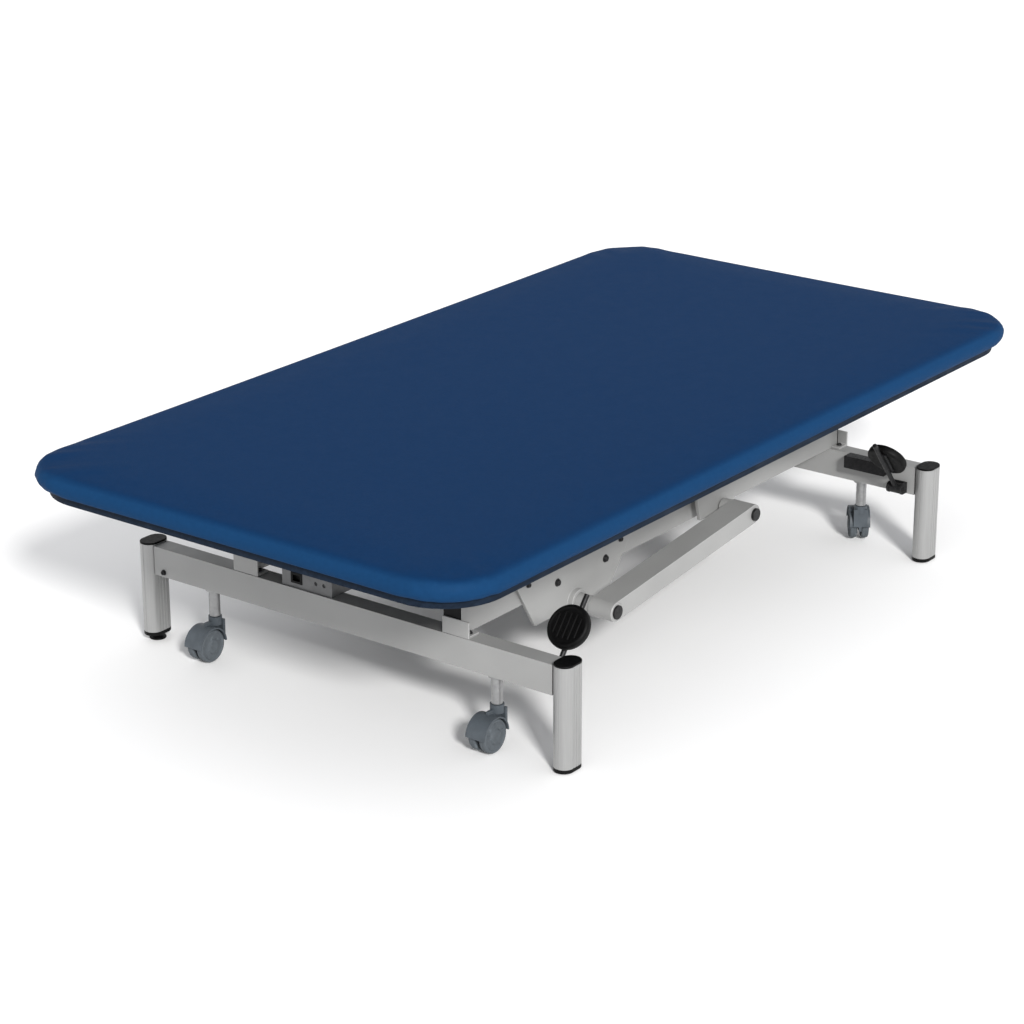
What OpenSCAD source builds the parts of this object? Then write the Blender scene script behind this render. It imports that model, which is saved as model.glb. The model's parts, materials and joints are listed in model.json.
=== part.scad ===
// Low, wide height-adjustable examination table.
// X runs along the table, Y across it and Z up. The floor is Z = 0 and the
// origin is under the centre of the top. The head end is at -X and the left
// side at +Y. All sizes are in millimetres.

/* [Top] */
// Length of the mattress
top_length = 2000; // [1900:10:2100]
// Width of the mattress
top_width = 1080; // [1000:10:1200]
// Thickness of the mattress
mattress_t = 48; // [40:1:60]
// Plan radius of the mattress corners
corner_r = 95; // [70:5:140]
// Thickness of the board under the mattress
board_t = 15; // [12:1:18]
// Height of the underside of the board when fully lowered
board_z = 405; // [402:1:420]

/* [Base] */
// Distance of the end beams from the middle
beam_x = 650; // [640:5:700]
// Distance of the corner posts from the centre line
post_y = 510; // [500:5:540]
// Height of the top of the post caps
post_top = 213; // [211:1:220]
// Underside of the end beams
beam_z = 147; // [146:1:148]
// Height of the end beams
beam_h = 60; // [58:1:60]
// Distance of the base rails from the centre line
rail_y = 258; // [256:1:262]
// Height of the base rails
rail_h = 60; // [50:1:64]

/* [Lift] */
// Lower pivot of the lift arms, along the table
pivot_x = -319; // [-325:1:-310]
// Height of the lower pivot
pivot_z = 166.5; // [160:0.5:168]
// Distance between the pivots of a lift arm
arm_len = 485; // [470:1:490]
// Angle of the arms when fully lowered
arm_rest = 6.4; // [6:0.1:8]
// Radius of the crank that the actuator pushes
crank_r = 100; // [90:1:104]

/* [Castors] */
// Distance of the castors from the centre line
castor_y = 350; // [340:5:380]
// Radius of the castor wheels
wheel_r = 33; // [30:0.5:34]
// Gap between the wheels and the floor when the table stands on its feet
wheel_gap = 3; // [2:0.5:5]
// Trail of the castors
trail = 30; // [26:1:34]

/* [Hidden] */
$fn = 48;

eps = 0.01;
run = 0.06;                    // radial running clearance of a pin
wall = 3;                      // wall of the steel tubes
beam_w = 40;
beam_top = beam_z + beam_h;
post_w = 60;                   // post section along X
post_d = 40;                   // post section along Y
lip = 4;                       // rim of the caps and plugs
skirt = 3.8;                   // skirt of a plug round the foot
rail_w = 40;
rail_end = beam_x + 12;        // end of the steel of a base rail
rail_out = rail_y + rail_w / 2;
rail_in = rail_y - rail_w / 2;
plate_t = 8;

arm_x = arm_len * cos(arm_rest);
arm_z = arm_len * sin(arm_rest);
upper_x = pivot_x + arm_x;     // upper pivot of the lift arms
upper_z = pivot_z + arm_z;
arm_w = 55;                    // arm section along Y
arm_h = 40;
arm_out = rail_out + 107;      // outer face of an arm
arm_in = arm_out - arm_w;
tube_r = 18;                   // torque tube
pin_r = 10;                    // upper pivot pins

link_dx = -200;                // offset of the links from the arms
link_dz = 70;
link_x = pivot_x + link_dx;
link_z = pivot_z + link_dz;
link_y = 205;
link_w = 30;
shaft_r = 11;

top_rail_y = rail_y + 20;
top_rail_w = 40;
cross_h = 25;
cross_z = board_z - cross_h;
top_rail_h = 50;
top_rail_z = cross_z - top_rail_h;
top_rail_l = 1500;
top_out = top_rail_y + top_rail_w / 2;
mid_x = link_x + arm_x;        // cross member that carries the links
cross_xs = [-700, mid_x - 333, mid_x, mid_x + 367, 700];

crank_a = 60;                  // crank angle when lowered
crank_mid = pivot_z + crank_r - 7.6;
crank_tip = [pivot_x + crank_r * cos(crank_a), pivot_z + crank_r * sin(crank_a)];
motor_x = 400;                 // rear pin of the actuator
tube_out = 19;                 // outer radius of the actuator tube
cross_tube_x = 450;

pedal_y = -455;
pedal_x = beam_x - 36;
pedal_z = 161;
pedal_a = 51;                  // slope of a pedal lever

wheel_z = wheel_r + wheel_gap;
stem_r = 11;
stem_z = 88;
// end, side and trail heading of each castor
HL = [-1, 1, 180];
HR = [-1, -1, 180];
FL = [1, 1, 150];
FR = [1, -1, 37];
CORNERS = [HL, HR, FL, FR];

// height of the plug at one corner: one foot is screwed further out
function plug_z(c) = (c[0] < 0 && c[1] > 0) ? 17 : 5.3;

// ---- helpers ----
module at(x, y, z) { translate([x, y, z]) children(); }

module box(x0, x1, y0, y1, z0, z1) {
  translate([x0, y0, z0]) cube([x1 - x0, y1 - y0, z1 - z0]);
}

// cylinder along Y between y0 and y1, at x, z
module ycyl(r, x, z, y0, y1) {
  translate([x, y0, z]) rotate([-90, 0, 0]) cylinder(r=r, h=y1 - y0);
}

// cylinder along X between x0 and x1, at y, z
module xcyl(r, y, z, x0, x1) {
  translate([x0, y, z]) rotate([0, 90, 0]) cylinder(r=r, h=x1 - x0);
}

// both sides of the table
module sides() { children(); mirror([0, 1, 0]) children(); }

// plate standing in the XZ plane between y0 and y1
module plate(pts, y0, y1) {
  translate([0, y1, 0]) rotate([90, 0, 0]) linear_extrude(y1 - y0) polygon(pts);
}

// upright section with round ends: w along X, d along Y
module oval(w, d, z0, z1) {
  box(-(w - d) / 2, (w - d) / 2, -d / 2, d / 2, z0, z1);
  for (s = [-1, 1]) at(s * (w - d) / 2, 0, z0) cylinder(r=d / 2, h=z1 - z0);
}

// half of an edge in section: flat up to x = d, then half round
module edge_section(d, t) {
  intersection() {
    square([d + t / 2, t]);
    union() {
      square([d, t]);
      translate([d, t / 2]) circle(r=t / 2);
    }
  }
}

// slab with half-round edges and round corners, standing on z = 0
module bullnose(l, w, t, rc) {
  d = rc - t / 2;
  x = l / 2 - rc;
  y = w / 2 - rc;
  box(-x, x, -y, y, 0, t);
  for (s = [0, 1]) {
    mirror([s, 0, 0]) at(x, y, 0) rotate([90, 0, 0]) linear_extrude(2 * y) edge_section(d, t);
    mirror([0, s, 0]) at(-x, y, 0) rotate([90, 0, 90]) linear_extrude(2 * x) edge_section(d, t);
    for (q = [0, 1])
      mirror([s, 0, 0]) mirror([0, q, 0]) at(x, y, 0) rotate_extrude(angle=90) edge_section(d, t);
  }
}

// ---- base ----
module end_beam(s) {
  color([0.70, 0.71, 0.72]) difference() {
    at(s * beam_x, 0, 0)
      box(-beam_w / 2, beam_w / 2, -post_y + post_d / 2, post_y - post_d / 2, beam_z, beam_top);
    at(s * beam_x, 0, 0)
      box(-beam_w / 2 + wall, beam_w / 2 - wall, -post_y, post_y, beam_z + wall, beam_top - wall);
    for (q = [-1, 1]) at(s * beam_x, q * castor_y, beam_z - 1) cylinder(r=14, h=wall + 2);
  }
}
module end_beam_head() { end_beam(-1); }
module end_beam_foot() { end_beam(1); }

module post(c) {
  z0 = plug_z(c) + lip;
  z1 = post_top - lip;
  color([0.72, 0.73, 0.74]) at(c[0] * beam_x, c[1] * post_y, 0) difference() {
    oval(post_w, post_d, z0, z1);
    oval(post_w - 2 * wall, post_d - 2 * wall, z0 - 1, z1 + 1);
    // shallow flutes on both flat sides and on the two round edges
    for (x = [-8, 0, 8], s = [-1, 1]) at(x, s * post_d / 2, z0 - 1) cylinder(r=1.1, h=z1 - z0 + 2, $fn=16);
    for (s = [-1, 1]) at(s * post_w / 2, 0, z0 - 1) cylinder(r=1.1, h=z1 - z0 + 2, $fn=16);
  }
}
module post_head_left() { post(HL); }
module post_head_right() { post(HR); }
module post_foot_left() { post(FL); }
module post_foot_right() { post(FR); }

module post_caps() {
  color([0.04, 0.04, 0.04]) for (c = CORNERS) at(c[0] * beam_x, c[1] * post_y, 0) {
    oval(post_w, post_d, post_top - lip, post_top);
    oval(post_w - 2 * wall - 0.6, post_d - 2 * wall - 0.6, post_top - lip - 16, post_top - lip + eps);
  }
}

module post_plugs() {
  color([0.12, 0.12, 0.13]) for (c = CORNERS) at(c[0] * beam_x, c[1] * post_y, 0) difference() {
    z = plug_z(c);
    union() {
      oval(post_w, post_d, z - skirt, z + lip);
      oval(post_w - 2 * wall - 0.6, post_d - 2 * wall - 0.6, z + lip - eps, z + lip + 24);
    }
    at(0, 0, z - skirt - 1) cylinder(r=17.6, h=skirt + 1);
    at(0, 0, z - 1) cylinder(r=5 + run, h=lip + 26);
  }
}

module levelling_foot(c) {
  color([0.05, 0.05, 0.05]) at(c[0] * beam_x, c[1] * post_y, 0) {
    cylinder(r=17, h=3.4);
    at(0, 0, 3.4 - eps) cylinder(r=11, h=1.5);
    cylinder(r=5, h=48);
  }
}
module foot_head_left() { levelling_foot(HL); }
module foot_head_right() { levelling_foot(HR); }
module foot_foot_left() { levelling_foot(FL); }
module foot_foot_right() { levelling_foot(FR); }

module base_rail(s) {
  color([0.71, 0.72, 0.73]) at(0, s * rail_y, beam_top) difference() {
    box(-rail_end, rail_end, -rail_w / 2, rail_w / 2, 0, rail_h);
    box(-rail_end - 1, rail_end + 1, -rail_w / 2 + wall, rail_w / 2 - wall, wall, rail_h - wall);
  }
}
module base_rail_left() { base_rail(1); }
module base_rail_right() { base_rail(-1); }

module rail_end_plugs() {
  color([0.04, 0.04, 0.04]) for (s = [-1, 1], q = [-1, 1]) at(0, q * rail_y, beam_top) {
    x0 = s > 0 ? rail_end : -rail_end - 3;
    box(x0, x0 + 3, -rail_w / 2, rail_w / 2, 0, rail_h);
    x1 = s > 0 ? rail_end - 14 : -rail_end - eps;
    box(x1, x1 + 14 + eps, -rail_w / 2 + wall + 0.3, rail_w / 2 - wall - 0.3, wall + 0.3, rail_h - wall - 0.3);
  }
}

// end stops bolted down on the beams in front of the rail ends
module rail_brackets() {
  color([0.70, 0.71, 0.72]) for (s = [-1, 1], q = [-1, 1]) at(s * (rail_end + 3), q * rail_y, beam_top) {
    box(s > 0 ? 0 : -4, s > 0 ? 4 : 0, -rail_w / 2 - 22, rail_w / 2, 0, 33);
    box(s > 0 ? -28 : -4, s > 0 ? 4 : 28, -rail_w / 2 - 22, -rail_w / 2, 0, 5);
  }
}

// plates that hang from the base rails and carry the torque tube
module pivot_plates() {
  y0 = rail_out;
  z0 = pivot_z - 11;
  color([0.70, 0.71, 0.72]) sides() difference() {
    union() {
      plate([[pivot_x - 127, z0], [pivot_x + 112, z0], [pivot_x + 201, beam_top + 55],
             [pivot_x - 192, beam_top + 55]], y0, y0 + plate_t);
      ycyl(34, pivot_x, pivot_z, y0, y0 + plate_t);
      ycyl(25, pivot_x, pivot_z, y0, y0 + 20);
    }
    ycyl(tube_r + run, pivot_x, pivot_z, y0 - 1, y0 + 21);
  }
}

module link_brackets_base() {
  color([0.66, 0.67, 0.68]) sides() difference() {
    box(link_x - 40, link_x + 40, rail_in - plate_t, rail_in, beam_top + 2, beam_top + rail_h - 2);
    ycyl(shaft_r + run, link_x, link_z, rail_in - plate_t - 1, rail_in + 1);
  }
}

module base_cross_tube() {
  color([0.68, 0.69, 0.70]) at(cross_tube_x, 0, beam_top + 10) difference() {
    box(-20, 20, -rail_in, rail_in, 0, 40);
    box(-20 + wall, 20 - wall, -rail_in - 1, rail_in + 1, wall, 40 - wall);
  }
}

module actuator_mount() {
  x1 = cross_tube_x - 20;
  color([0.30, 0.31, 0.32]) {
    sides() difference() {
      union() {
        box(motor_x, x1, 9, 15, crank_mid - 18, crank_mid + 16);
        ycyl(16, motor_x, crank_mid, 9, 15);
      }
      ycyl(6 + run, motor_x, crank_mid, 8, 16);
    }
    box(x1 - 5, x1, -15, 15, beam_top + 12, crank_mid + 16);
    ycyl(6, motor_x, crank_mid, -18, 18);
    for (s = [-1, 1]) ycyl(9, motor_x, crank_mid, s * 16.5 - 1.4, s * 16.5 + 1.4);
  }
}

module control_box() {
  color([0.55, 0.56, 0.57]) difference() {
    union() {
      box(-beam_x - 16, -beam_x + 90, 30, 155, beam_top, beam_top + 50);
      box(-beam_x - 12, -beam_x + 86, 34, 151, beam_top + 50 - eps, beam_top + 53);
    }
    box(-beam_x - 17, -beam_x - 8, 104, 132, beam_top + 9, beam_top + 31);
    for (y = [50, 70]) xcyl(4, y, beam_top + 20, -beam_x - 17, -beam_x - 12);
  }
}

module power_inlet() {
  color([0.06, 0.06, 0.06]) difference() {
    box(-beam_x - 17.5, -beam_x - 8, 104, 132, beam_top + 9, beam_top + 31);
    box(-beam_x - 19, -beam_x - 10, 109, 127, beam_top + 14, beam_top + 26);
  }
}

module castor_bushes() {
  color([0.45, 0.46, 0.47]) for (c = CORNERS) at(c[0] * beam_x, c[1] * castor_y, 0) difference() {
    union() {
      at(0, 0, beam_z - 5) cylinder(r=17, h=5);
      at(0, 0, beam_z - 1) cylinder(r=13.8, h=wall + 21);
    }
    at(0, 0, beam_z - 6) cylinder(r=stem_r + run, h=wall + 28);
  }
}

// ears and pin of each pedal, on the inner face of the beam
module pedal_brackets() {
  x0 = beam_x - beam_w / 2;
  color([0.10, 0.10, 0.10]) for (s = [0, 1]) mirror([s, 0, 0]) {
    for (y = [pedal_y - 18, pedal_y + 13]) {
      box(-x0, -pedal_x, y, y + 5, pedal_z - 12, pedal_z + 12);
      ycyl(12, -pedal_x, pedal_z, y, y + 5);
    }
    box(-x0, -x0 + 2.5, pedal_y - 18, pedal_y + 18, pedal_z - 12, pedal_z + 12);
    ycyl(4, -pedal_x, pedal_z, pedal_y - 21, pedal_y + 21);
  }
  // housing of the lift linkage at the foot end
  color([0.10, 0.10, 0.10]) box(x0 - 27, x0, pedal_y + 26, pedal_y + 124, beam_top - 24, beam_top + 3);
}

module frame_bolts() {
  zb = beam_top + 15;
  color([0.16, 0.16, 0.17]) {
    // pivot plates to rails
    sides() for (x = [pivot_x - 57, pivot_x + 100]) ycyl(8, x, zb, rail_out + plate_t, rail_out + plate_t + 5);
    sides() for (x = [pivot_x - 150, pivot_x + 150]) ycyl(6, x, beam_top + 40, rail_out + plate_t, rail_out + plate_t + 5);
    // left posts to beams, heads on both faces of the beam
    for (s = [-1, 1], f = [-1, 1]) at(s * beam_x, 0, 0)
      xcyl(6, post_y - 45, pedal_z - 4, f * 22.5 - 2.5, f * 22.5 + 2.5);
    // end stops to beams
    for (s = [-1, 1], q = [-1, 1])
      at(s * (rail_end - 10), q * rail_y - rail_w / 2 - 11, beam_top + 5) cylinder(r=6, h=4);
  }
}

// ---- lift arms ----
// bar of the arm, drawn along X from pivot to pivot in its own frame
module lift_arm(s) {
  y0 = s > 0 ? arm_in : -arm_out;
  color([0.72, 0.73, 0.74]) translate([pivot_x, y0, pivot_z]) rotate([0, -arm_rest, 0]) difference() {
    union() {
      box(0, arm_len, 0, arm_w, -arm_h / 2, arm_h / 2);
      for (x = [0, arm_len]) ycyl(arm_h / 2, x, 0, 0, arm_w);
      ycyl(tube_r, arm_len, 0, s > 0 ? -21 : arm_w - eps, s > 0 ? eps : arm_w + 21);
    }
    box(30, arm_len - 30, wall, arm_w - wall, -arm_h / 2 + wall, arm_h / 2 - wall);
    ycyl(tube_r, 0, 0, -1, arm_w + 1);
    ycyl(pin_r, arm_len, 0, -23, arm_w + 23);
  }
}
module lift_arm_left() { lift_arm(1); }
module lift_arm_right() { lift_arm(-1); }

module torque_tube() {
  color([0.72, 0.73, 0.74]) difference() {
    ycyl(tube_r, pivot_x, pivot_z, -arm_out, arm_out);
    ycyl(tube_r - 5, pivot_x, pivot_z, -arm_out - 1, arm_out + 1);
  }
}

module crank_lever() {
  color([0.62, 0.63, 0.64]) {
    sides() translate([pivot_x, 0, pivot_z]) rotate([0, -crank_a, 0]) difference() {
      union() {
        ycyl(30, 0, 0, 12, 20);
        ycyl(17, crank_r, 0, 12, 20);
        plate([[0, -30], [0, 30], [crank_r, 17], [crank_r, -17]], 12, 20);
      }
      ycyl(tube_r, 0, 0, 11, 21);
      ycyl(8, crank_r, 0, 11, 21);
    }
    ycyl(8, crank_tip[0], crank_tip[1], -23, 23);
  }
}

// headed pins of the upper pivots and end caps of the torque tube
module arm_pivot_pins() {
  color([0.05, 0.05, 0.05]) sides() {
    ycyl(pin_r, upper_x, upper_z, top_out - 4, arm_out);
    ycyl(13, upper_x, upper_z, arm_out, arm_out + 6);
    ycyl(14, pivot_x, pivot_z, arm_out, arm_out + 4);
    ycyl(tube_r - 5.2, pivot_x, pivot_z, arm_out - 12, arm_out + eps);
  }
}

// ---- parallel links ----
module link_bar(s) {
  y0 = s * link_y - link_w / 2;
  color([0.60, 0.61, 0.62]) translate([link_x, y0, link_z]) rotate([0, -arm_rest, 0]) difference() {
    union() {
      box(0, arm_len, 0, link_w, -18, 18);
      for (x = [0, arm_len]) ycyl(18, x, 0, 0, link_w);
    }
    box(28, arm_len - 28, wall, link_w - wall, -18 + wall, 18 - wall);
    for (x = [0, arm_len]) ycyl(shaft_r, x, 0, -1, link_w + 1);
  }
}
module link_left() { link_bar(1); }
module link_right() { link_bar(-1); }

module link_shafts() {
  color([0.55, 0.56, 0.57]) {
    ycyl(shaft_r, link_x, link_z, -rail_in + 1, rail_in - 1);
    ycyl(shaft_r, link_x + arm_x, link_z + arm_z, -rail_in + 7, rail_in - 7);
  }
}

// ---- top ----
module top_rail(s) {
  color([0.68, 0.69, 0.70]) at(0, s * top_rail_y, top_rail_z) difference() {
    box(-top_rail_l / 2, top_rail_l / 2, -top_rail_w / 2, top_rail_w / 2, 0, top_rail_h);
    box(-top_rail_l / 2 - 1, top_rail_l / 2 + 1, -top_rail_w / 2 + wall, top_rail_w / 2 - wall,
        wall, top_rail_h - wall);
  }
}
module top_rail_left() { top_rail(1); }
module top_rail_right() { top_rail(-1); }

module top_cross_members() {
  color([0.66, 0.67, 0.68]) for (x = cross_xs) at(x, 0, cross_z) difference() {
    box(-20, 20, -460, 460, 0, cross_h);
    box(-20 + wall, 20 - wall, -461, 461, wall, cross_h - wall);
  }
}

module top_pivot_plates() {
  y0 = top_out;
  color([0.68, 0.69, 0.70]) sides() difference() {
    union() {
      plate([[upper_x - 78, upper_z - 8], [upper_x + 42, upper_z - 8], [upper_x + 90, cross_z - 4],
             [upper_x - 120, cross_z - 4]], y0, y0 + plate_t);
      ycyl(26, upper_x, upper_z, y0, y0 + plate_t);
    }
    ycyl(pin_r + run, upper_x, upper_z, y0 - 1, y0 + plate_t + 1);
  }
}

module link_brackets_top() {
  x = mid_x;
  z = link_z + arm_z;
  color([0.62, 0.63, 0.64]) sides() difference() {
    union() {
      plate([[x - 22, z], [x + 22, z], [x + 34, cross_z], [x - 34, cross_z]], rail_in - 14, rail_in - 6);
      ycyl(22, x, z, rail_in - 14, rail_in - 6);
    }
    ycyl(shaft_r + run, x, z, rail_in - 15, rail_in - 5);
  }
}

module top_board() {
  l = top_length - 40;
  w = top_width - 40;
  r = corner_r + 25;
  color([0.13, 0.17, 0.22]) at(0, 0, board_z) {
    box(-l / 2 + r, l / 2 - r, -w / 2, w / 2, 0, board_t);
    box(-l / 2, l / 2, -w / 2 + r, w / 2 - r, 0, board_t);
    for (s = [-1, 1], q = [-1, 1]) at(s * (l / 2 - r), q * (w / 2 - r), 0) cylinder(r=r, h=board_t);
  }
}

module mattress() {
  color([0.09, 0.22, 0.39]) at(0, 0, board_z + board_t) bullnose(top_length, top_width, mattress_t, corner_r);
}

module board_bolts() {
  color([0.30, 0.31, 0.32]) {
    for (x = cross_xs, y = [-400, -120, 120, 400]) at(x, y, cross_z - 4) cylinder(r=7, h=4, $fn=24);
    sides() for (x = [upper_x - 55, upper_x + 45])
      ycyl(7, x, top_rail_z + 28, top_out + plate_t, top_out + plate_t + 5);
  }
}

// ---- actuator ----
module actuator_motor() {
  z = crank_mid;
  color([0.13, 0.13, 0.14]) difference() {
    union() {
      box(300, 368, -32, 100, z - 36, z + 36);
      box(368 - eps, 382, -7, 7, z - 16, z + 16);
      box(382 - eps, motor_x, -7, 7, z - 14, z + 14);
      ycyl(14, motor_x, z, -7, 7);
      xcyl(30, 68, z, 140, 300);
      xcyl(24, 68, z, 132, 141);
    }
    ycyl(6 + run, motor_x, z, -8, 8);
    xcyl(tube_out, 0, z, 290, 320);
  }
}

module actuator_tube() {
  z = crank_mid;
  color([0.62, 0.63, 0.65]) difference() {
    union() {
      xcyl(tube_out, 0, z, -226, 320);
      xcyl(tube_out + 3, 0, z, -232, -210);
    }
    xcyl(11, 0, z, -233, 90);
  }
}

module actuator_rod() {
  z = crank_mid;
  x = crank_tip[0];
  color([0.80, 0.81, 0.82]) difference() {
    union() {
      xcyl(10, 0, z, x + 18, 30);
      box(x - 22, x + 22, -8, 8, z - 9, z + 9);
      for (d = [-9, 9]) ycyl(22, x, z + d, -8, 8);
      xcyl(9.5, 0, z, x + 16, x + 30);
    }
    box(x - 9.6, x + 9.6, -9, 9, z - 8.4, z + 8.4);
    for (d = [-8.4, 8.4]) ycyl(9.6, x, z + d, -9, 9);
  }
}

// ---- castor pedals ----
// draws its children in the frame of a lever: X along the lever, Z off its top
module on_lever(s) {
  mirror([s > 0 ? 1 : 0, 0, 0]) translate([-pedal_x, pedal_y, pedal_z]) rotate([0, -pedal_a, 0]) children();
}

module pedal_lever(s) {
  color([0.06, 0.06, 0.06]) on_lever(s) difference() {
    union() {
      ycyl(11, 0, 0, -12.5, 12.5);
      xcyl(5, 0, 0, 0, 158);
      box(60, 118, -12, 12, 3, 6.5);
    }
    ycyl(4 + run, 0, 0, -13, 13);
  }
}
module pedal_lever_head() { pedal_lever(-1); }
module pedal_lever_foot() { pedal_lever(1); }

module pedal_pad(s) {
  color([0.03, 0.03, 0.03]) on_lever(s) at(87, 0, 6.5) {
    cylinder(r=41, h=4);
    at(0, 0, 4 - eps) cylinder(r=43, h=10);
    at(0, 0, 14 - 2 * eps) cylinder(r=40, h=4);
    for (y = [-24, -12, 0, 12, 24]) box(-26, 26, y - 2.5, y + 2.5, 17.9, 20);
  }
}
module pedal_pad_head() { pedal_pad(-1); }
module pedal_pad_foot() { pedal_pad(1); }

// ---- castors ----
module at_castor(c) {
  translate([c[0] * beam_x, c[1] * castor_y, 0]) rotate([0, 0, c[2]]) children();
}

module castor_stem(c) {
  color([0.74, 0.75, 0.76]) at_castor(c) {
    at(0, 0, stem_z) cylinder(r=stem_r, h=198 - stem_z);
    at(0, 0, stem_z - 18) cylinder(r=5, h=18 + eps);
  }
}
module castor_stem_head_left() { castor_stem(HL); }
module castor_stem_head_right() { castor_stem(HR); }
module castor_stem_foot_left() { castor_stem(FL); }
module castor_stem_foot_right() { castor_stem(FR); }

// neck round the stem pin, fender over both wheels and a web between them
module castor_hood(c) {
  color([0.22, 0.25, 0.28]) at_castor(c) difference() {
    union() {
      difference() {
        ycyl(wheel_r + 5, trail, wheel_z, -22, 22);
        ycyl(wheel_r + 2, trail, wheel_z, -23, 23);
        box(trail - 60, trail + 60, -23, 23, wheel_z - 60, wheel_z + 2);
      }
      box(-12, trail, -3, 3, wheel_z - 6, stem_z - 8);
      ycyl(9, trail, wheel_z, -3, 3);
      box(-12, -6, -15, 15, wheel_z + 4, stem_z - 8);
      at(0, 0, stem_z - 18) cylinder(r=13.5, h=17.5);
    }
    at(0, 0, stem_z - 18.6) cylinder(r=5 + run, h=19);
    ycyl(4 + run, trail, wheel_z, -4, 4);
  }
}
module castor_hood_head_left() { castor_hood(HL); }
module castor_hood_head_right() { castor_hood(HR); }
module castor_hood_foot_left() { castor_hood(FL); }
module castor_hood_foot_right() { castor_hood(FR); }

module castor_wheels(c) {
  color([0.32, 0.36, 0.40]) at_castor(c) {
    for (s = [-1, 1]) {
      ycyl(wheel_r, trail, wheel_z, s * 12.5 - 6, s * 12.5 + 6);
      ycyl(wheel_r - 2, trail, wheel_z, s * 12.5 - 8, s * 12.5 + 8);
      ycyl(14, trail, wheel_z, s * 21 - 1.5, s * 21 + 1.5);
    }
    ycyl(4, trail, wheel_z, -12, 12);
  }
}
module castor_wheels_head_left() { castor_wheels(HL); }
module castor_wheels_head_right() { castor_wheels(HR); }
module castor_wheels_foot_left() { castor_wheels(FL); }
module castor_wheels_foot_right() { castor_wheels(FR); }

end_beam_head();
end_beam_foot();
post_head_left();
post_head_right();
post_foot_left();
post_foot_right();
post_caps();
post_plugs();
base_rail_left();
base_rail_right();
rail_end_plugs();
rail_brackets();
pivot_plates();
link_brackets_base();
base_cross_tube();
actuator_mount();
control_box();
power_inlet();
castor_bushes();
pedal_brackets();
frame_bolts();
lift_arm_left();
lift_arm_right();
torque_tube();
crank_lever();
arm_pivot_pins();
link_left();
link_right();
link_shafts();
top_rail_left();
top_rail_right();
top_cross_members();
top_pivot_plates();
link_brackets_top();
top_board();
mattress();
board_bolts();
actuator_motor();
actuator_tube();
actuator_rod();
pedal_lever_head();
pedal_pad_head();
pedal_lever_foot();
pedal_pad_foot();
castor_stem_head_left();
castor_stem_head_right();
castor_stem_foot_left();
castor_stem_foot_right();
castor_hood_head_left();
castor_hood_head_right();
castor_hood_foot_left();
castor_hood_foot_right();
castor_wheels_head_left();
castor_wheels_head_right();
castor_wheels_foot_left();
castor_wheels_foot_right();
foot_head_left();
foot_head_right();
foot_foot_left();
foot_foot_right();
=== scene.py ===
"""Looks of the low examination table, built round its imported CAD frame.

Everything is in metres in the frame of the part: X along the table from the
head end, Y across it, Z up from the floor. Steel, tubes and housings are the
CAD nodes themselves with soft edges and procedural finishes. The mattress,
the castor wheels, the pedal pads and the bolts are built here and stand for
their CAD solids.
"""

import json
import math

import bmesh
import bpy
from mathutils import Matrix, Vector


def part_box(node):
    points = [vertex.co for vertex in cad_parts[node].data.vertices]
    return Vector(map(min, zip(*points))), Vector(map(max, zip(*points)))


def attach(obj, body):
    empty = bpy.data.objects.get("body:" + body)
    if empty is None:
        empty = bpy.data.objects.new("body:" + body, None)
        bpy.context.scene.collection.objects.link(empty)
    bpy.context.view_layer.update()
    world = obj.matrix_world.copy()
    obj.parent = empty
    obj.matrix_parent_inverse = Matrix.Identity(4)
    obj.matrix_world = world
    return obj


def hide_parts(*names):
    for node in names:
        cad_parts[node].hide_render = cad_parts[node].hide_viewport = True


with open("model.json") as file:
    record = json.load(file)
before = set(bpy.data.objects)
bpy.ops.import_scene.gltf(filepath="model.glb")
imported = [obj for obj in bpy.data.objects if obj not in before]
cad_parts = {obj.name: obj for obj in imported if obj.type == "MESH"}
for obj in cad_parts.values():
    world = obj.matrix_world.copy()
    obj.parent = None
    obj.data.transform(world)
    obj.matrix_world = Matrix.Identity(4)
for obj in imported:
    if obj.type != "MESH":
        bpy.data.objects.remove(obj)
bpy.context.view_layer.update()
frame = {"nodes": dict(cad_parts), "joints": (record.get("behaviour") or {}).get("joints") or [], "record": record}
JOINTS = {joint["name"]: joint for joint in frame["joints"]}
CORNERS = ("head_left", "head_right", "foot_left", "foot_right")
MM = 0.001
WELD = 0.02 * MM  # vertices of a CAD node closer than this are one

# ---- camera and light --------------------------------------------------------

CAMERA_PLACE = Vector((-4.515, -3.315, 2.290))
CAMERA_HEADING = math.radians(37.16)  # from +X towards +Y
CAMERA_PITCH = math.radians(20.57)  # below the horizon
CAMERA_ROLL = math.radians(-0.15)
CAMERA_LENS = 102.1  # mm
SENSOR_WIDTH = 36.0  # mm
CAMERA_REACH = 200.0  # how far the camera sees

SKY = (0.98, 0.985, 1.0)
SKY_STRENGTH = 0.80
SUN_COLOUR = (1.0, 0.99, 0.975)
SUN_STRENGTH = 3.3
SUN_ANGLE = math.radians(9)
SUN_AZIMUTH = math.radians(233)  # where the light comes from, from +X
SUN_ELEVATION = math.radians(30)
FLOOR_SIDE = 60.0


def direction(azimuth, elevation):
    """Unit vector at an azimuth from +X towards +Y and an elevation above the horizon."""
    return Vector((
        math.cos(elevation) * math.cos(azimuth),
        math.cos(elevation) * math.sin(azimuth),
        math.sin(elevation),
    ))


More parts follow.
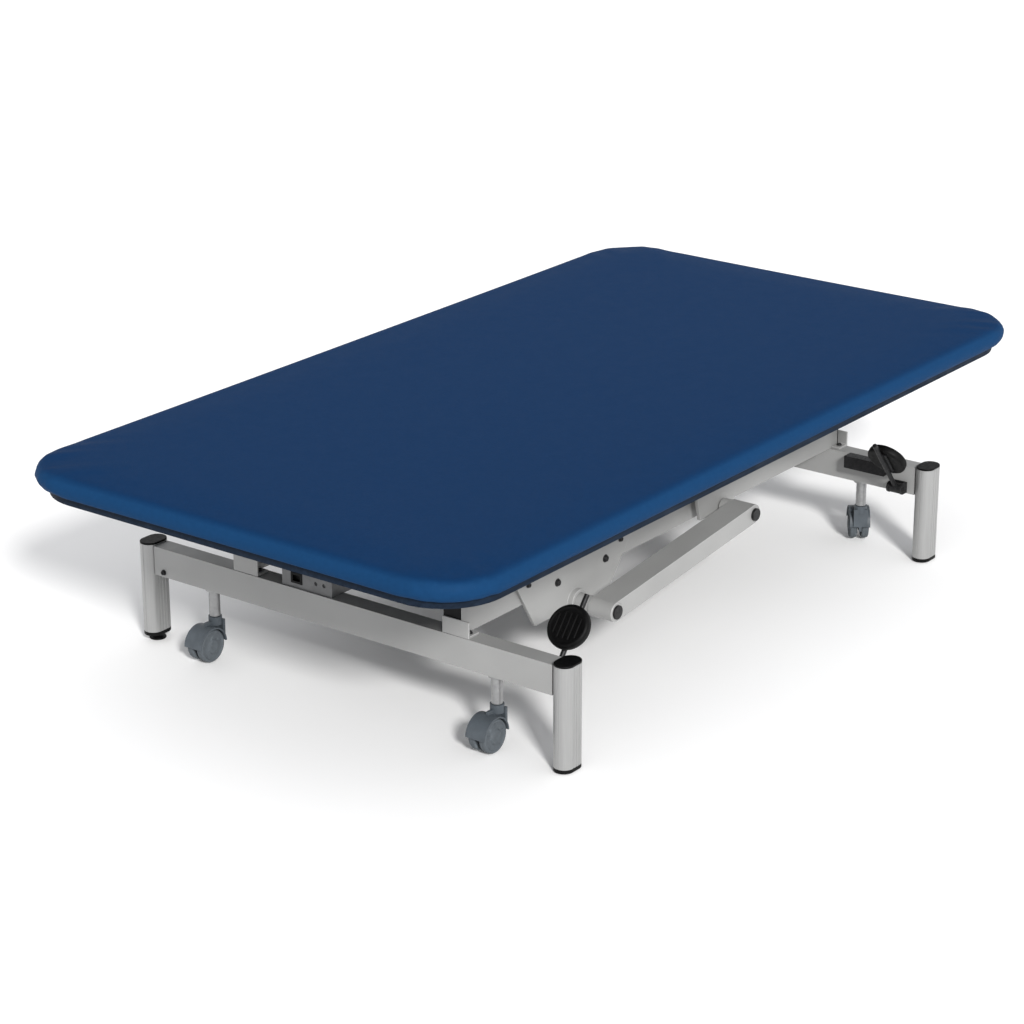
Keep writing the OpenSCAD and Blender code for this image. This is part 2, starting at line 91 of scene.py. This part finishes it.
def make_camera():
    """The camera looks down at the table from beyond its head end, on the right."""
    data = bpy.data.cameras.new("camera")
    data.lens = CAMERA_LENS
    data.sensor_width = SENSOR_WIDTH
    data.clip_end = CAMERA_REACH
    camera = bpy.data.objects.new("camera", data)
    bpy.context.scene.collection.objects.link(camera)
    forward = direction(CAMERA_HEADING, -CAMERA_PITCH)
    level = forward.to_track_quat("-Z", "Y").to_matrix()
    camera.location = CAMERA_PLACE
    camera.rotation_euler = (level @ Matrix.Rotation(CAMERA_ROLL, 3, "Z")).to_euler()
    bpy.context.scene.camera = camera


def make_light():
    """A bright, even sky and one large soft sun."""
    world = bpy.data.worlds.new("studio")
    world.use_nodes = True
    background = world.node_tree.nodes["Background"]
    background.inputs["Color"].default_value = (*SKY, 1.0)
    background.inputs["Strength"].default_value = SKY_STRENGTH
    bpy.context.scene.world = world
    data = bpy.data.lights.new("key", "SUN")
    data.energy = SUN_STRENGTH
    data.angle = SUN_ANGLE
    data.color = SUN_COLOUR
    sun = bpy.data.objects.new("key", data)
    source = direction(SUN_AZIMUTH, SUN_ELEVATION)
    sun.rotation_euler = source.to_track_quat("Z", "Y").to_euler()
    bpy.context.scene.collection.objects.link(sun)
    bpy.context.scene.view_settings.view_transform = "Standard"


# ---- materials ---------------------------------------------------------------

NOISE_LOW = 0.3  # noise mostly stays between these two
NOISE_HIGH = 0.7
# the painted side light on the vinyl fades in between these two
FACING_UP = 0.99  # Z of the normal where a surface starts to count as turned away
TURNED_AWAY = 0.65  # and where it counts in full


class Finish:
    """A Principled material whose detail comes from textures measured in metres."""

    def __init__(self, name, metallic=0.0, specular=0.5):
        self.material = bpy.data.materials.new(name)
        self.material.use_nodes = True
        self.nodes = self.material.node_tree.nodes
        self.links = self.material.node_tree.links
        self.shader = self.nodes["Principled BSDF"]
        self.set("Metallic", metallic)
        self.set("Specular IOR Level", specular)
        texture = self.nodes.new("ShaderNodeTexCoord")
        self.coordinates = texture.outputs["Object"]
        self.facing = texture.outputs["Normal"]
        self.last_normal = None

    def set(self, socket, value):
        """A value that is the same all over goes straight on the shader."""
        self.shader.inputs[socket].default_value = value

    def stretched(self, stretch):
        """Coordinates scaled by axis, so that a texture runs along the smallest number."""
        node = self.nodes.new("ShaderNodeMapping")
        node.inputs["Scale"].default_value = stretch
        self.links.new(self.coordinates, node.inputs["Vector"])
        return node.outputs["Vector"]

    def noise(self, size, detail, stretch=None, distortion=0.0):
        """Noise whose blotches are about size metres across."""
        node = self.nodes.new("ShaderNodeTexNoise")
        node.inputs["Scale"].default_value = 1.0 / size
        node.inputs["Detail"].default_value = detail
        node.inputs["Distortion"].default_value = distortion
        vector = self.stretched(stretch) if stretch else self.coordinates
        self.links.new(vector, node.inputs["Vector"])
        return node.outputs["Fac"]

    def cells(self, size):
        """Distance inside Voronoi cells about size metres across."""
        node = self.nodes.new("ShaderNodeTexVoronoi")
        node.inputs["Scale"].default_value = 1.0 / size
        self.links.new(self.coordinates, node.inputs["Vector"])
        return node.outputs["Distance"]

    def colour(self, factor, stops):
        """Base colour from a ramp of (position, (r, g, b)) stops in linear colour."""
        node = self.nodes.new("ShaderNodeValToRGB")
        elements = node.color_ramp.elements
        while len(elements) < len(stops):
            elements.new(0.5)
        for element, (position, rgb) in zip(elements, stops):
            element.position = position
            element.color = (*rgb, 1.0)
        self.links.new(factor, node.inputs["Fac"])
        self.links.new(node.outputs["Color"], self.shader.inputs["Base Color"])
        return node.outputs["Color"]

    def paint_side_light(self, colour, gain):
        """Multiplies the base colour by gain where the surface turns away from straight up: painted light that
        makes the sides lighter than the top.
        """
        split = self.nodes.new("ShaderNodeSeparateXYZ")
        self.links.new(self.facing, split.inputs["Vector"])
        turned = self.nodes.new("ShaderNodeMapRange")
        turned.inputs["From Min"].default_value = FACING_UP
        turned.inputs["From Max"].default_value = TURNED_AWAY
        self.links.new(split.outputs["Z"], turned.inputs["Value"])
        mix = self.nodes.new("ShaderNodeMixRGB")
        mix.blend_type = "MULTIPLY"
        mix.inputs["Color2"].default_value = (*gain, 1.0)
        self.links.new(turned.outputs["Result"], mix.inputs["Fac"])
        self.links.new(colour, mix.inputs["Color1"])
        self.links.new(mix.outputs["Color"], self.shader.inputs["Base Color"])

    def spread(self, factor, low, high, socket):
        """Maps noise to low..high on a shader socket."""
        node = self.nodes.new("ShaderNodeMapRange")
        node.inputs["From Min"].default_value = NOISE_LOW
        node.inputs["From Max"].default_value = NOISE_HIGH
        node.inputs["To Min"].default_value = low
        node.inputs["To Max"].default_value = high
        self.links.new(factor, node.inputs["Value"])
        self.links.new(node.outputs["Result"], self.shader.inputs[socket])

    def bump(self, height, depth):
        """Adds relief of depth metres. Several bumps add up."""
        node = self.nodes.new("ShaderNodeBump")
        node.inputs["Distance"].default_value = depth
        node.inputs["Strength"].default_value = 1.0
        self.links.new(height, node.inputs["Height"])
        if self.last_normal:
            self.links.new(self.last_normal, node.inputs["Normal"])
        self.last_normal = node.outputs["Normal"]
        self.links.new(self.last_normal, self.shader.inputs["Normal"])


def tones(rgb, share):
    """Two ramp stops, a share darker and a share lighter than a colour."""
    dark = tuple(c * (1 - share) for c in rgb)
    light = tuple(c * (1 + share) for c in rgb)
    return [(0.35, dark), (0.65, light)]


def powder_coat():
    """Light grey coat with a fine orange peel over tubes and plates."""
    f = Finish("powder_coat", specular=0.45)
    f.colour(f.noise(0.12, 4), tones((0.295, 0.296, 0.293), 0.04))
    f.spread(f.noise(0.03, 4), 0.36, 0.50, "Roughness")
    f.bump(f.noise(0.0016, 2), 0.00006)
    f.bump(f.noise(0.012, 2), 0.00010)
    return f.material


def worn_edge_and_highlight():
    """The coat over a tube corner: thinner, smoother, rubbed bright in places, and painted lighter all along the
    bevel as a highlight.
    """
    f = Finish("powder_coat_edge", specular=0.5)
    # lighter than the flat coat: partly rubbed wear, partly a painted highlight along the edge
    f.colour(f.noise(0.018, 6), [
        (0.40, (0.33, 0.332, 0.33)),
        (0.60, (0.38, 0.382, 0.38)),
        (0.70, (0.28, 0.28, 0.285)),
    ])
    f.spread(f.noise(0.02, 4), 0.26, 0.42, "Roughness")
    f.bump(f.noise(0.0016, 2), 0.00005)
    return f.material


def aluminium():
    """Satin anodised extrusion: fine lines run up the posts."""
    f = Finish("aluminium", metallic=0.55, specular=0.5)
    f.colour(f.noise(0.05, 5, stretch=(20, 20, 0.5)), tones((0.345, 0.346, 0.344), 0.04))
    f.spread(f.noise(0.02, 4, stretch=(14, 14, 0.4)), 0.30, 0.44, "Roughness")
    f.bump(f.noise(0.0009, 2, stretch=(1, 1, 0.02)), 0.00003)
    return f.material


def steel():
    """Zinc-plated steel, slightly clouded."""
    f = Finish("steel", metallic=0.8, specular=0.5)
    f.colour(f.noise(0.008, 5), tones((0.32, 0.322, 0.325), 0.09))
    f.spread(f.noise(0.006, 4), 0.28, 0.42, "Roughness")
    f.bump(f.noise(0.0012, 3), 0.00004)
    return f.material


def chrome():
    """Polished rod with faint marks along its stroke."""
    f = Finish("chrome", metallic=1.0)
    f.colour(f.noise(0.05, 3, stretch=(0.2, 6, 6)), tones((0.62, 0.63, 0.64), 0.03))
    f.spread(f.noise(0.004, 3, stretch=(0.1, 4, 4)), 0.07, 0.16, "Roughness")
    f.bump(f.noise(0.0008, 2, stretch=(0.05, 1, 1)), 0.00001)
    return f.material


def dark_steel():
    """Steel with a black oxide skin."""
    f = Finish("dark_steel", metallic=0.35, specular=0.35)
    f.colour(f.noise(0.006, 5), tones((0.014, 0.014, 0.015), 0.35))
    f.spread(f.noise(0.005, 4), 0.36, 0.55, "Roughness")
    f.bump(f.noise(0.0010, 3), 0.00005)
    return f.material


def moulded(name, rgb, grain=0.0009, specular=0.35):
    """Injection-moulded plastic with a spark-eroded grain."""
    f = Finish(name, specular=specular)
    f.colour(f.noise(0.02, 4), tones(rgb, 0.10))
    f.spread(f.noise(0.008, 4), 0.42, 0.56, "Roughness")
    f.bump(f.cells(grain), 0.00005)
    f.bump(f.noise(0.006, 2), 0.00006)
    return f.material


def rubber(name, rgb, rough=(0.55, 0.75), specular=0.25):
    """Soft tread or pad, dulled by dust in blotches."""
    f = Finish(name, specular=specular)
    dusty = tuple(c * 1.5 + 0.002 for c in rgb)
    f.colour(f.noise(0.010, 6), [(0.35, rgb), (0.58, rgb), (0.72, dusty)])
    f.spread(f.noise(0.006, 4), *rough, "Roughness")
    f.bump(f.noise(0.0006, 3), 0.00008)
    return f.material


def motor_black():
    """Black coat with a fine texture on the actuator's housing."""
    f = Finish("motor_black", specular=0.4)
    f.colour(f.noise(0.015, 5), tones((0.014, 0.014, 0.016), 0.2))
    f.spread(f.noise(0.01, 4), 0.34, 0.48, "Roughness")
    f.bump(f.noise(0.0011, 2), 0.00007)
    return f.material


def board():
    """Plywood sealed with dark blue-grey stain: the grain runs along the table."""
    f = Finish("board", specular=0.08)
    grain = f.noise(0.05, 7, stretch=(0.35, 7, 7), distortion=0.6)
    f.colour(grain, [
        (0.30, (0.005, 0.010, 0.019)),
        (0.52, (0.0075, 0.0140, 0.0265)),
        (0.72, (0.011, 0.019, 0.034)),
    ])
    f.spread(f.noise(0.04, 5), 0.50, 0.72, "Roughness")
    f.bump(f.noise(0.004, 5, stretch=(0.12, 3, 3)), 0.00015)
    return f.material


def vinyl():
    """Upholstery vinyl: pebbled grain, faint hand polish, sides and rounded edges painted lighter than the top as
    painted side light.
    """
    f = Finish("vinyl", specular=0.012)
    body = f.colour(f.noise(0.010, 3), tones((0.0042, 0.0268, 0.0835), 0.03))
    # painted light: this gain makes the sides and rounded edges lighter than the top
    f.paint_side_light(body, (1.8, 1.48, 1.30))
    f.spread(f.noise(0.03, 4), 0.475, 0.505, "Roughness")
    f.bump(f.cells(0.0016), 0.00022)
    f.bump(f.noise(0.0045, 4), 0.00012)
    return f.material


# one finish for each material slot of the record
FINISHES = {
    "powder_coat": powder_coat(),
    "aluminium": aluminium(),
    "steel": steel(),
    "chrome": chrome(),
    "dark_steel": dark_steel(),
    "black_plastic": moulded("black_plastic", (0.0022, 0.0022, 0.0024), specular=0.14),
    "grey_plastic": moulded("grey_plastic", (0.14, 0.142, 0.145)),
    "motor_black": motor_black(),
    "castor_hood": moulded("castor_hood", (0.064, 0.076, 0.088), grain=0.0007),
    "castor_wheel": rubber("castor_wheel", (0.080, 0.092, 0.103)),
    "pad_rubber": rubber("pad_rubber", (0.0020, 0.0020, 0.0021), rough=(0.46, 0.62), specular=0.14),
    "board": board(),
    "vinyl": vinyl(),
}
# the bevels of coated steel: rubbed wear and a painted highlight
EDGE = worn_edge_and_highlight()

# ---- mesh helpers ------------------------------------------------------------

FLAT_ANGLE = math.radians(0.4)  # faces that differ by less are one face
SHARP_ANGLE = math.radians(32)  # edges that turn by more are rounded


def add_object(name, mesh, finish):
    """Links a smooth-shaded mesh with its finish."""
    obj = bpy.data.objects.new(name, mesh)
    bpy.context.scene.collection.objects.link(obj)
    mesh.materials.append(finish)
    mesh.shade_smooth()
    return obj


def from_rings(name, rings, finish):
    """Skins equal-length closed rings of points, one after another, and closes the ends."""
    mesh = bpy.data.meshes.new(name)
    bm = bmesh.new()
    made = [[bm.verts.new(p) for p in ring] for ring in rings]
    n = len(rings[0])
    for a, b in zip(made, made[1:]):
        for i in range(n):
            bm.faces.new((a[i], a[(i + 1) % n], b[(i + 1) % n], b[i]))
    bm.faces.new(reversed(made[0]))
    bm.faces.new(made[-1])
    bmesh.ops.recalc_face_normals(bm, faces=bm.faces)
    bm.to_mesh(mesh)
    bm.free()
    return add_object(name, mesh, finish)


def turn(bm, outline, matrix, steps):
    """Adds an outline of (radius, height) points turned about Z, then moved by matrix.

    A point on the axis makes one vertex, and any other a ring of them.
    """
    rings = []
    for radius, height in outline:
        ring = []
        for i in range(steps if radius else 1):
            a = 2 * math.pi * i / steps
            point = Vector((radius * math.cos(a), radius * math.sin(a), height))
            ring.append(bm.verts.new(matrix @ point))
        rings.append(ring)
    made = []
    for a, b in zip(rings, rings[1:]):
        for i in range(steps):
            j = (i + 1) % steps
            corners = [a[i % len(a)], a[j % len(a)], b[j % len(b)], b[i % len(b)]]
            corners = list(dict.fromkeys(corners))
            if len(corners) > 2:
                made.append(bm.faces.new(corners))
    bmesh.ops.recalc_face_normals(bm, faces=made)


def scaled(outline, across, along):
    """An outline with its radii scaled by one factor and its heights by another."""
    return [(radius * across, height * along) for radius, height in outline]


def bar(bm, size, matrix, radius):
    """Adds a bar with rounded edges, centred on the origin and then moved by matrix."""
    made = bmesh.ops.create_cube(bm, size=1.0)["verts"]
    bmesh.ops.scale(bm, vec=size, verts=made)
    edges = list(dict.fromkeys(edge for vert in made for edge in vert.link_edges))
    made = bmesh.ops.bevel(
        bm, geom=edges, offset=radius, segments=3, profile=0.5,
        affect="EDGES", clamp_overlap=True,
    )["verts"]
    bmesh.ops.transform(bm, matrix=matrix, verts=made)


def finished(bm, name, body, node, slot):
    """Makes a bmesh an object that stands for a CAD node and rides on a body."""
    mesh = bpy.data.meshes.new(name)
    bm.to_mesh(mesh)
    bm.free()
    obj = add_object(name, mesh, FINISHES[slot])
    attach(obj, body)
    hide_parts(node)


def outward(place, axis):
    """Matrix that puts local Z along an axis at a place."""
    return Matrix.Translation(place) @ axis.to_track_quat("Z", "X").to_matrix().to_4x4()


def soften(obj, width, edge_slot):
    """Joins split vertices and coplanar faces, rounds the sharp edges, evens the shading."""
    weld = obj.modifiers.new("weld", "WELD")
    weld.merge_threshold = WELD
    flat = obj.modifiers.new("flat", "DECIMATE")
    flat.decimate_type = "DISSOLVE"
    flat.angle_limit = FLAT_ANGLE
    bevel = obj.modifiers.new("bevel", "BEVEL")
    bevel.width = width
    bevel.segments = 2
    bevel.limit_method = "ANGLE"
    bevel.angle_limit = SHARP_ANGLE
    bevel.miter_outer = "MITER_ARC"
    if edge_slot is not None:
        bevel.material = edge_slot
    even = obj.modifiers.new("even", "WEIGHTED_NORMAL")
    even.keep_sharp = False
    even.weight = 80


def islands(node):
    """Boxes (lowest, highest) of the separate solids of a CAD node."""
    bm = bmesh.new()
    bm.from_mesh(frame["nodes"][node].data)
    bmesh.ops.remove_doubles(bm, verts=bm.verts, dist=WELD)
    boxes = []
    seen = set()
    for start in bm.verts:
        if start in seen:
            continue
        stack = [start]
        group = []
        seen.add(start)
        while stack:
            vert = stack.pop()
            group.append(vert.co.copy())
            for edge in vert.link_edges:
                other = edge.other_vert(vert)
                if other not in seen:
                    seen.add(other)
                    stack.append(other)
        low = Vector([min(p[i] for p in group) for i in range(3)])
        high = Vector([max(p[i] for p in group) for i in range(3)])
        boxes.append((low, high))
    bm.free()
    return boxes


# ---- floor -------------------------------------------------------------------


def make_floor():
    """A plain white floor that runs on past the picture."""
    mesh = bpy.data.meshes.new("floor")
    half = FLOOR_SIDE / 2
    corners = [(-half, -half, 0), (half, -half, 0), (half, half, 0), (-half, half, 0)]
    mesh.from_pydata(corners, [], [(0, 1, 2, 3)])
    f = Finish("floor", specular=0.1)
    f.colour(f.noise(0.6, 3), tones((0.94, 0.94, 0.94), 0.006))
    f.spread(f.noise(0.2, 3), 0.75, 0.9, "Roughness")
    floor = add_object("floor", mesh, f.material)


# ---- the CAD nodes -----------------------------------------------------------

USUAL_EDGE = 1.1  # width of a rounded edge in mm
# and its width on the nodes where it is another
EDGE_WIDTH = {
    "post_caps": 1.5,
    "control_box": 2.0,
    "actuator_motor": 2.5,
    "top_board": 1.0,
    "lift_arm_left": 1.3,
    "lift_arm_right": 1.3,
    "power_inlet": 0.6,
    "pedal_brackets": 0.7,
    "castor_bushes": 0.5,
}


def dress_cad_nodes():
    """Gives every CAD node its slot's finish and soft edges, worn ones with a painted highlight on coated steel.
    """
    for row in frame["record"]["subparts"]:
        obj = frame["nodes"][row["node"]]
        slot = row["material_slot"]
        obj.data.materials.clear()
        obj.data.materials.append(FINISHES[slot])
        edge_slot = None
        if slot == "powder_coat":
            obj.data.materials.append(EDGE)
            edge_slot = 1
        obj.data.shade_smooth()
        soften(obj, EDGE_WIDTH.get(row["node"], USUAL_EDGE) * MM, edge_slot)


# ---- mattress ----------------------------------------------------------------

COVER_CORNER = 140 * MM  # radius of the cover's corners in plan, rounder than the CAD solid's
CORNER_STEPS = 12  # pieces of the arc at each corner
EDGE_STEPS = 12  # and of the half round from the underside to the top
VOXEL = 11 * MM
CROWN = 4.5 * MM  # most that the foam pushes the cover out
SHRINK = 3.5 * MM  # how far inside the sides and top of the CAD solid the slab starts
PULL = 4.0 * MM  # how far the middle of a side is drawn in
PULL_BAND = 0.2  # over this share of the half width, at its outer end, the pull grows
RESTING = 4 * MM  # up to this height above the board the cover doesn't move
CLOTH_FRAMES = 20  # of the simulation


def slab_rings(low, high, corner):
    """Rings up the side of a slab with round corners and a half-round edge."""
    half = (high - low) / 2
    middle = (high + low) / 2
    radius = (high.z - low.z) / 2

    def ring(inset, z):
        """The outline at a height, drawn in by inset."""
        points = []
        reach = corner - inset
        for quarter in range(4):
            sx = 1 if quarter in (0, 3) else -1
            sy = 1 if quarter in (0, 1) else -1
            cx = middle.x + sx * (half.x - corner)
            cy = middle.y + sy * (half.y - corner)
            for i in range(CORNER_STEPS + 1):
                a = math.radians(90) * (quarter + i / CORNER_STEPS)
                points.append(Vector((cx + reach * math.cos(a), cy + reach * math.sin(a), z)))
        return points

    rings = []
    for i in range(EDGE_STEPS + 1):
        a = -math.pi / 2 + math.pi * i / EDGE_STEPS
        rings.append(ring(radius * (1 - math.cos(a)), low.z + radius * (1 + math.sin(a))))
    return rings


def apply_modifiers(obj):
    """Replaces the mesh by what its modifiers make of it."""
    graph = bpy.context.evaluated_depsgraph_get()
    graph.update()
    mesh = bpy.data.meshes.new_from_object(obj.evaluated_get(graph))
    obj.modifiers.clear()
    obj.data = mesh


def remesh(obj):
    """Gives the slab an even grid of faces, so that the cloth bends alike everywhere."""
    grid = obj.modifiers.new("voxel", "REMESH")
    grid.mode = "VOXEL"
    grid.voxel_size = VOXEL
    grid.use_smooth_shade = True
    apply_modifiers(obj)


def inflate(obj, board_z):
    """Blows the cover up like foam under vinyl. It stays flat where it lies on the board."""
    start = [vert.co.copy() for vert in obj.data.vertices]
    resting = [vert.index for vert in obj.data.vertices if vert.co.z < board_z + RESTING]
    held = obj.vertex_groups.new(name="held")
    held.add(resting, 1.0, "REPLACE")
    cloth = obj.modifiers.new("cloth", "CLOTH")
    settings = cloth.settings
    settings.quality = 4
    settings.mass = 0.4
    settings.tension_stiffness = 12
    settings.compression_stiffness = 12
    settings.shear_stiffness = 6
    settings.bending_stiffness = 0.8
    settings.use_pressure = True
    settings.uniform_pressure_force = 4.0
    settings.effector_weights.gravity = 0.0
    settings.vertex_group_mass = "held"
    cloth.collision_settings.use_collision = False
    cloth.point_cache.frame_start = 1
    cloth.point_cache.frame_end = CLOTH_FRAMES
    for step in range(1, CLOTH_FRAMES + 1):
        bpy.context.scene.frame_set(step)
    apply_modifiers(obj)
    bpy.context.scene.frame_set(1)
    for vert, origin in zip(obj.data.vertices, start):
        move = vert.co - origin
        vert.co = origin + move.normalized() * CROWN * math.tanh(move.length / CROWN)


def pull_in(obj, low, high):
    """Draws each side in between its corners, as a tight cover does."""
    for vert in obj.data.vertices:
        share = [
            2 * (vert.co[i] - (low[i] + high[i]) / 2) / (high[i] - low[i]) for i in range(2)
        ]
        for i in range(2):
            near = max(0.0, abs(share[i]) - (1 - PULL_BAND)) / PULL_BAND
            vert.co[i] -= math.copysign(PULL * near ** 2 * (1 - share[1 - i] ** 2), share[i])


def fit(obj, low, high):
    """Scales a mesh in plan so that it is as long and as wide as its CAD solid."""
    for i in range(2):
        places = [vert.co[i] for vert in obj.data.vertices]
        middle = (max(places) + min(places)) / 2
        factor = (high[i] - low[i]) / (max(places) - min(places))
        for vert in obj.data.vertices:
            vert.co[i] = (vert.co[i] - middle) * factor + (low[i] + high[i]) / 2


def make_mattress():
    """A foam slab in a tight vinyl cover: crowned, pulled in between its corners."""
    low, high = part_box("mattress")
    inner_low = low + Vector((SHRINK, SHRINK, 0.0))
    inner_high = high - Vector((SHRINK, SHRINK, SHRINK))
    rings = slab_rings(inner_low, inner_high, COVER_CORNER - SHRINK)
    pad = from_rings("mattress_cover", rings, FINISHES["vinyl"])
    remesh(pad)
    inflate(pad, low.z)
    pull_in(pad, low, high)
    pad.modifiers.new("smooth", "SUBSURF").render_levels = 1
    apply_modifiers(pad)
    fit(pad, low, high)
    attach(pad, "top")
    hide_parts("mattress")


# ---- castor wheels -----------------------------------------------------------

# outlines of one wheel and of the axle: (radius, height along the axle) in mm
INNER_FACE = [(0, -7.8), (12, -7.8), (13, -7.2), (27, -7.2), (28, -7.8)]
HALF_TREAD = [(30, 7.8), (31.6, 7.0), (32.6, 5.6), (33, 3.6), (33, 0.8)]  # from its side in
GROOVE = [(32.6, 0)]  # round the middle of the tread
DISC = [(28.2, 7.8), (27.4, 7.3), (26.8, 6.2), (25.6, 5.8), (17.5, 6.4), (15.2, 7.0)]
HUB_CAP = [(14.2, 8.2), (13.6, 9.6), (12.4, 10.2), (6, 10.5), (5.2, 10.1), (4.2, 10.0), (0, 10.0)]
WHEEL = (
    INNER_FACE + [(radius, -height) for radius, height in HALF_TREAD] + GROOVE
    + HALF_TREAD[::-1] + DISC + HUB_CAP
)
AXLE = [(0, -11), (3.5, -11), (4, -10.5), (4, 10.5), (3.5, 11), (0, 11)]
WHEEL_MIDDLE = 12.5 * MM  # of each wheel of a pair, from the middle of the castor
SPOKES = 5
SPOKE = (10 * MM, 2.4 * MM, 2.0 * MM)  # length, width and thickness of a rib of the disc
SPOKE_EDGE = 0.7 * MM
SPOKE_PLACE = Vector((21 * MM, 0, 6.1 * MM))  # its middle, from the middle of the wheel


def make_wheels(corner):
    """A pair of wheels with rounded treads, dished discs and hub caps."""
    joint = JOINTS["castor_roll_" + corner]
    middle = Vector(joint["pos_m"])
    axle = Vector(joint["axis"]).normalized()
    bm = bmesh.new()
    for side in (axle, -axle):
        wheel = outward(middle + side * WHEEL_MIDDLE, side)
        turn(bm, scaled(WHEEL, MM, MM), wheel, steps=72)
        for i in range(SPOKES):
            heading = Matrix.Rotation(math.radians(360 / SPOKES * i), 4, "Z")
            spoke = heading @ Matrix.Translation(SPOKE_PLACE)
            bar(bm, SPOKE, wheel @ spoke, SPOKE_EDGE)
    turn(bm, scaled(AXLE, MM, MM), outward(middle, axle), steps=24)
    body = "castor_roll_" + corner
    node = "castor_wheels_" + corner
    finished(bm, "wheels_" + corner, body, node, "castor_wheel")


# ---- pedal pads --------------------------------------------------------------

# outline of the pad from its underside over the side and the raised rim to its middle:
# (radius, height) in mm
PAD = [
    (0, 0.2), (30, 0.2), (32, 0), (39.5, 0),
    (41.3, 1.0), (42.4, 2.8), (43, 5.5), (43, 11),
    (42.5, 13.6), (41.2, 15.8), (39.2, 17.2), (37, 17.8),
    (35.6, 17.6), (34.6, 16.9), (33.2, 16.6), (0, 16.6),
]
PAD_PLACE = Vector((87 * MM, 0, 6.5 * MM))  # in the frame of the lever, from its pivot
PEDAL_SLOPE = math.radians(51)  # of the lever, up from the floor
# ribs on the pad, in mm
RIB_PLACES = (-24, -12, 0, 12, 24)
RIB_CIRCLE = 31  # radius of the circle that they end on
RIB_LONGEST = 52
RIB_WIDTH = 5
RIB_THICK = 4
RIB_HEIGHT = 17.6  # of their middle line above the underside
RIB_EDGE = 1.4


def make_pad(end):
    """A round rubber pad with a raised rim and five ribs."""
    pivot = Vector(JOINTS["pedal_hinge_" + end]["pos_m"])
    heading = 0 if end == "head" else math.pi
    pad = (
        Matrix.Translation(pivot) @ Matrix.Rotation(heading, 4, "Z")
        @ Matrix.Rotation(-PEDAL_SLOPE, 4, "Y") @ Matrix.Translation(PAD_PLACE)
    )
    bm = bmesh.new()
    turn(bm, scaled(PAD, MM, MM), pad, steps=96)
    for y in RIB_PLACES:
        rib = Matrix.Translation((0, y * MM, RIB_HEIGHT * MM))
        length = min(2 * math.sqrt(RIB_CIRCLE ** 2 - y ** 2), RIB_LONGEST)
        bar(bm, (length * MM, RIB_WIDTH * MM, RIB_THICK * MM), pad @ rib, RIB_EDGE * MM)
    finished(bm, "pad_" + end, "pedal_" + end, "pedal_pad_" + end, "pad_rubber")


# ---- bolts -------------------------------------------------------------------

# outlines of a bolt: (share of the washer's radius, share of the height)
WASHER = [(0, 0), (1, 0), (1, 0.16), (0.96, 0.24), (0.80, 0.24)]
HEAD = [(0.77, 0.30), (0.76, 0.86), (0.70, 0.97), (0.60, 1), (0.42, 1)]
SOCKET = [(0.38, 0.94), (0.36, 0.45), (0, 0.38)]
BOLT = WASHER + HEAD + SOCKET


def head_direction(low, high, upright):
    """Which way the head of a bolt looks, from the box of its CAD solid.

    Along X it looks away from the middle of its end beam, and along Y away from the
    middle of the table. An upright one looks up (1) or down (-1).
    """
    size = high - low
    middle = (low + high) / 2
    thin = min(range(3), key=lambda i: size[i])
    if thin == 2:
        return Vector((0, 0, upright))
    if thin == 1:
        return Vector((0, math.copysign(1, middle.y), 0))
    beam_low, beam_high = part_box("end_beam_foot")
    past_beam = abs(middle.x) - (beam_low.x + beam_high.x) / 2
    return Vector((math.copysign(1, middle.x * past_beam), 0, 0))


def make_bolts(name, body, node, slot, upright):
    """Washers and socket heads where the CAD node has plain heads."""
    bm = bmesh.new()
    for low, high in islands(node):
        axis = head_direction(low, high, upright)
        size = high - low
        tall = abs(size.dot(axis))
        wide = max(size) / 2
        foot = (low + high) / 2 - axis * tall / 2
        turn(bm, scaled(BOLT, wide, tall), outward(foot, axis), steps=36)
    finished(bm, name, body, node, slot)


# ---- everything together -----------------------------------------------------

make_camera()
make_light()
make_floor()
dress_cad_nodes()
make_mattress()
for corner in CORNERS:
    make_wheels(corner)
for end in ("head", "foot"):
    make_pad(end)
make_bolts("bolts_frame", "base", "frame_bolts", "dark_steel", upright=1)
make_bolts("bolts_top", "top", "board_bolts", "steel", upright=-1)
